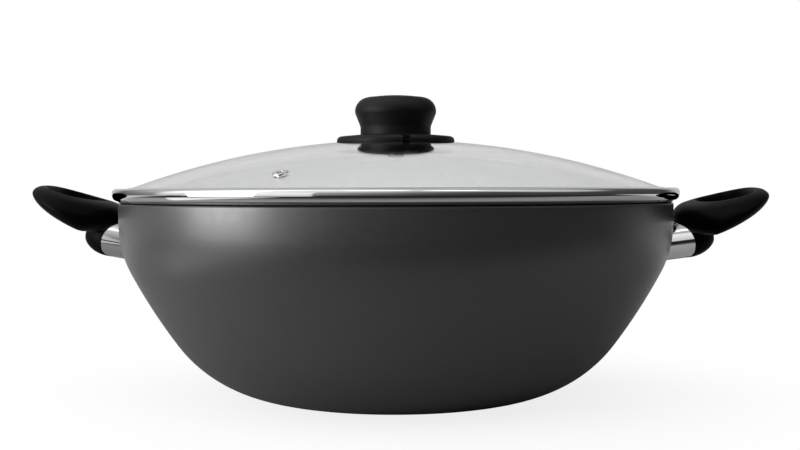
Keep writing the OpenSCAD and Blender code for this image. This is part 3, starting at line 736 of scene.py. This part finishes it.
# Reaches marked m are in metres, because they are compared with Object coordinates. Heights in the
# sky are the z of a direction: 0 at the horizon, 1 straight up. Azimuths go from the front to the right
studio = {
    # The floor's far colour is painted shade, which the camera never sees
    "floorSize": 8000, "floorDrop": 0.1, "floorNear": "#a4a4a4", "floorPaintedShade": "#303030",
    "floorCentre": (100, 500, 0), "floorShadeFade": (0.66, 0.9),  # m from that centre: near colour to far colour
    "floorGlow": 0.7, "floorBack": (0.12, 0.4),  # m behind the axis: no glow to full glow
    "shadow": 0.17, "whiteFrom": (0.08, 0.3),  # m from the axis: shadow to none
    "leftBox": {"at": (-645, -375, 175), "size": (370, 260), "towards": (-105, -124, 110), "watts": 2.6},
    "frontBox": {"at": (-523, -622, 180), "size": (450, 450), "towards": (0, -100, 110), "watts": 0.43},
    "lowBox": {"at": (-370, -220, 4), "size": (240, 320), "towards": (-370, -220, 400), "watts": 0.2},
    "sideBox": {"at": (200, -265, 215), "size": (130, 230), "towards": (176, 0, 92), "watts": 0.085},
    "underBox": {"at": (205, -75, 3), "size": (130, 280), "towards": (205, -75, 100), "watts": 0.03},
    "skySide": (-0.55, -0.25, 0.8), "skyStart": -0.1,  # cosine of the angle to that side where the lobe begins
    "skyPower": 2, "skyLevels": (0.08, 1.05),
    "lowSky": (0, 0.6, 0.75, 1),  # between the first two heights the lobe's share goes between the last two
    "roofLevel": 0.12,
    "wallAzimuth": -78, "wallEdges": (32, 18),  # degrees from its middle: none to full
    "wallFoot": (-0.05, 0.02), "wallRise": (0, 0.5), "wallLevels": (0.8, 1.7),
    # Azimuth, degrees above the horizon, outer and inner angle, level
    "spots": ((-10, 70, 11, 6, 1.6), (34, 57, 11, 6, 1.6), (72, 44, 34, 16, 0.5)),
    "backRange": (0.7, 0.93), "backLevel": 0.5,  # y of a direction: none to full
    "shadeTone": "#080808", "shadeOpen": -0.15, "shadeInset": 0.4,
}
smoothStep = {"interpolation_type": "SMOOTHSTEP"}


# Flat floor. Its colour is pale round the object and darker away from it, by the distance from a centre on
# Object coordinates, the darker tone being painted shade; mirrors and glass see it glow behind the object; to
# the camera it is white, with the object's shadow faint and only near by
def makeFloor():
    half, low = studio["floorSize"] / 2, -studio["floorDrop"]
    corners = [[-half, -half, low], [half, -half, low], [half, half, low], [-half, half, low]]
    floor = makePiece("floor", corners, [[0, 1, 2, 3]])
    material, tree = emptyMaterial("paleStudioFloor")
    path = addNode(tree, "ShaderNodeLightPath")
    where = addNode(tree, "ShaderNodeTexCoord")
    centre = tuple(value * mm for value in studio["floorCentre"])
    middle = addNode(tree, "ShaderNodeVectorMath", [(where, "Object"), centre], operation="DISTANCE")
    shadeFade = addNode(tree, "ShaderNodeMapRange", [(middle, "Value"), *studio["floorShadeFade"]], **smoothStep)
    tone = addNode(tree, "ShaderNodeMix", {
        0: (shadeFade, 0), 6: colour(studio["floorNear"]), 7: colour(studio["floorPaintedShade"])}, data_type="RGBA")
    matt = addNode(tree, "ShaderNodeBsdfDiffuse", {"Color": (tone, 2)})
    axes = addNode(tree, "ShaderNodeSeparateXYZ", [(where, "Object")])
    behind = addNode(tree, "ShaderNodeMapRange", [(axes, "Y"), *studio["floorBack"]], **smoothStep)
    mirrored = addNode(tree, "ShaderNodeMath", [(path, "Is Glossy Ray"), (path, "Is Transmission Ray")],
                       operation="MAXIMUM")
    glowing = addNode(tree, "ShaderNodeMath", [(mirrored, 0), (behind, 0)], operation="MULTIPLY")
    glow = addNode(tree, "ShaderNodeEmission", {"Color": white, "Strength": studio["floorGlow"]})
    unseen = addNode(tree, "ShaderNodeMixShader", [(glowing, 0), (matt, 0), (glow, 0)])
    distance = addNode(tree, "ShaderNodeVectorMath", [(where, "Object")], operation="LENGTH")
    plain = addNode(tree, "ShaderNodeMapRange", [
        (distance, "Value"), *studio["whiteFrom"], 1 - studio["shadow"], 1], **smoothStep)
    chalk = addNode(tree, "ShaderNodeBsdfDiffuse", {"Color": white})
    bare = addNode(tree, "ShaderNodeEmission", {"Color": white, "Strength": 1.0})
    shown = addNode(tree, "ShaderNodeMixShader", [(plain, 0), (chalk, 0), (bare, 0)])
    seen = addNode(tree, "ShaderNodeMixShader", [(path, "Is Camera Ray"), (unseen, 0), (shown, 0)])
    addNode(tree, "ShaderNodeOutputMaterial", {"Surface": (seen, 0)})
    floor.data.materials.append(material)


# Direction of an azimuth and an angle above the horizon: (sin a cos h, -cos a cos h, sin h)
def direction(azimuth, height=0):
    around, up = rad(azimuth), rad(height)
    return float(np.sin(around) * np.cos(up)), float(-np.cos(around) * np.cos(up)), float(np.sin(up))


# World: white to camera rays and through glass. Its light is a lobe, the cosine of the angle to one
# side raised to a power, dimmed towards the horizon, plus a roof that grows with the square of the
# height; or, where that is brighter, a wall within some degrees of one azimuth, brighter higher up.
# To this come round spots, each full within its inner angle and gone at its outer, and a glow behind
def makeWorld():
    world = bpy.data.worlds.new("studio")
    bpy.context.scene.world = world
    world.use_nodes = True
    tree = world.node_tree
    tree.nodes.clear()
    where = addNode(tree, "ShaderNodeTexCoord")
    axes = addNode(tree, "ShaderNodeSeparateXYZ", [(where, "Generated")])
    side = np.array(studio["skySide"])
    towards = addNode(tree, "ShaderNodeVectorMath", [
        (where, "Generated"), tuple(side / np.linalg.norm(side))], operation="DOT_PRODUCT")
    share = addNode(tree, "ShaderNodeMapRange", [(towards, "Value"), studio["skyStart"]])
    power = addNode(tree, "ShaderNodeMath", [(share, 0), studio["skyPower"]], operation="POWER")
    lobe = addNode(tree, "ShaderNodeMapRange", [(power, 0), 0, 1, *studio["skyLevels"]])
    dimming = addNode(tree, "ShaderNodeMapRange", [(axes, "Z"), *studio["lowSky"]], **smoothStep)
    dimmed = addNode(tree, "ShaderNodeMath", [(lobe, 0), (dimming, 0)], operation="MULTIPLY")
    square = addNode(tree, "ShaderNodeMath", [(axes, "Z"), 2], operation="POWER")
    roofed = addNode(tree, "ShaderNodeMath", [(square, 0), studio["roofLevel"], (dimmed, 0)],
                     operation="MULTIPLY_ADD")
    flat = addNode(tree, "ShaderNodeVectorMath", [(where, "Generated"), (1, 1, 0)], operation="MULTIPLY")
    heading = addNode(tree, "ShaderNodeVectorMath", [(flat, "Vector")], operation="NORMALIZE")
    along = addNode(tree, "ShaderNodeVectorMath", [(heading, "Vector"), direction(studio["wallAzimuth"])],
                    operation="DOT_PRODUCT")
    wallEdges = np.cos(rad(studio["wallEdges"])).tolist()
    width = addNode(tree, "ShaderNodeMapRange", [(along, "Value"), *wallEdges], **smoothStep)
    level = addNode(tree, "ShaderNodeMapRange", [
        (axes, "Z"), *studio["wallRise"], *studio["wallLevels"]], **smoothStep)
    foot = addNode(tree, "ShaderNodeMapRange", [(axes, "Z"), *studio["wallFoot"]], **smoothStep)
    strip = addNode(tree, "ShaderNodeMath", [(width, 0), (level, 0)], operation="MULTIPLY")
    wall = addNode(tree, "ShaderNodeMath", [(strip, 0), (foot, 0)], operation="MULTIPLY")
    light = addNode(tree, "ShaderNodeMath", [(wall, 0), (roofed, 0)], operation="MAXIMUM")
    for azimuth, height, outer, inner, bright in studio["spots"]:
        near = addNode(tree, "ShaderNodeVectorMath", [(where, "Generated"), direction(azimuth, height)],
                       operation="DOT_PRODUCT")
        spotEdges = np.cos(rad((outer, inner))).tolist()
        spot = addNode(tree, "ShaderNodeMapRange", [(near, "Value"), *spotEdges, 0, bright], **smoothStep)
        light = addNode(tree, "ShaderNodeMath", [(light, 0), (spot, 0)], operation="ADD")
    back = addNode(tree, "ShaderNodeMapRange", [
        (axes, "Y"), *studio["backRange"], 0, studio["backLevel"]], **smoothStep)
    light = addNode(tree, "ShaderNodeMath", [(light, 0), (back, 0)], operation="ADD")
    path = addNode(tree, "ShaderNodeLightPath")
    plain = addNode(tree, "ShaderNodeMath", [(path, "Is Camera Ray"), (path, "Is Transmission Ray")],
                    operation="MAXIMUM")
    strength = addNode(tree, "ShaderNodeMix", {0: (plain, 0), 2: (light, 0), 3: 1.0})
    sky = addNode(tree, "ShaderNodeBackground", {"Color": white, "Strength": (strength, 0)})
    addNode(tree, "ShaderNodeOutputWorld", {"Surface": (sky, 0)})


# A soft box whose own -z axis points at a place
def makeBox(name):
    box = studio[name]
    lamp = bpy.data.lights.new(name, "AREA")
    lamp.shape = "RECTANGLE"
    lamp.size, lamp.size_y = box["size"][0] * mm, box["size"][1] * mm
    lamp.energy = box["watts"]
    stand = addObject(name, lamp)
    place, target = np.array(box["at"]), np.array(box["towards"])
    stand.location = place * mm
    stand.rotation_euler = Vector((target - place).tolist()).to_track_quat("-Z", "Y").to_euler()
    return stand


# Black from the outside, clear from the inside
def oneSidedBlack():
    material, tree = emptyMaterial("oneSidedBlack")
    black = addNode(tree, "ShaderNodeBsdfDiffuse", {"Color": colour(studio["shadeTone"])})
    clear = addNode(tree, "ShaderNodeBsdfTransparent")
    side = addNode(tree, "ShaderNodeNewGeometry")
    both = addNode(tree, "ShaderNodeMixShader", [(side, "Backfacing"), (black, 0), (clear, 0)])
    addNode(tree, "ShaderNodeOutputMaterial", {"Surface": (both, 0)})
    return material


# A handle's stand-in for mirrors: its skin set back along its normals, open below and black from
# outside only. A ferrule lies so close under its handle that it would mirror nothing else, and the
# photograph shows it lit, while the lid's rim and the pot's edge do mirror the handle
def makeShade(name, handlePiece, finish):
    mesh = handlePiece.data.copy()
    work = bmesh.new()
    work.from_mesh(mesh)
    below = [face for face in work.faces if face.normal.z < studio["shadeOpen"]]
    bmesh.ops.delete(work, geom=below, context="FACES")
    work.to_mesh(mesh)
    work.free()
    normals = np.empty(len(mesh.vertices) * 3, np.float32)
    mesh.vertex_normals.foreach_get("vector", normals)
    mesh.vertices.foreach_set("co", meshPoints(mesh).ravel() - normals * studio["shadeInset"] * mm)
    mesh.materials.clear()
    mesh.materials.append(finish)
    shade = addObject(name, mesh)
    shade.visible_camera = shade.visible_diffuse = shade.visible_transmission = shade.visible_shadow = False
    handlePiece.visible_glossy = False


makeFloor()
makeWorld()
shadeFinish = oneSidedBlack()
makeShade("shadeRight", handleRight, shadeFinish)
makeShade("shadeLeft", handleLeft, shadeFinish)
for name in ("leftBox", "frontBox", "lowBox"):
    makeBox(name)
# The photograph shows the right ferrule lit from the front and from below by something that the pot
# and the rim don't mirror, so two small boxes light this piece alone
onlyFerrule = bpy.data.collections.new("rightFerruleOnly")
onlyFerrule.objects.link(ferruleRight)
for name in ("sideBox", "underBox"):
    makeBox(name).light_linking.receiver_collection = onlyFerrule
print("studio made")

view = {"distance": 749, "eyeHeight": 123.6, "turn": 2.9, "roll": 0.15, "focalLength": 56.25, "sensor": 36,
        "shift": (0.00525, -0.0475), "clip": (20, 50000)}
lens = bpy.data.cameras.new("camera")
lens.lens, lens.sensor_width = view["focalLength"], view["sensor"]
lens.shift_x, lens.shift_y = view["shift"]
lens.clip_start, lens.clip_end = view["clip"][0] * mm, view["clip"][1] * mm
eye = addObject("camera", lens)
turn = rad(view["turn"])
eye.location = np.array([*spin(0, -view["distance"], turn), view["eyeHeight"]]) * mm
eye.rotation_euler = (math.pi / 2, float(rad(view["roll"])), float(turn))
bpy.context.scene.camera = eye
bpy.context.scene.view_settings.view_transform = "Standard"
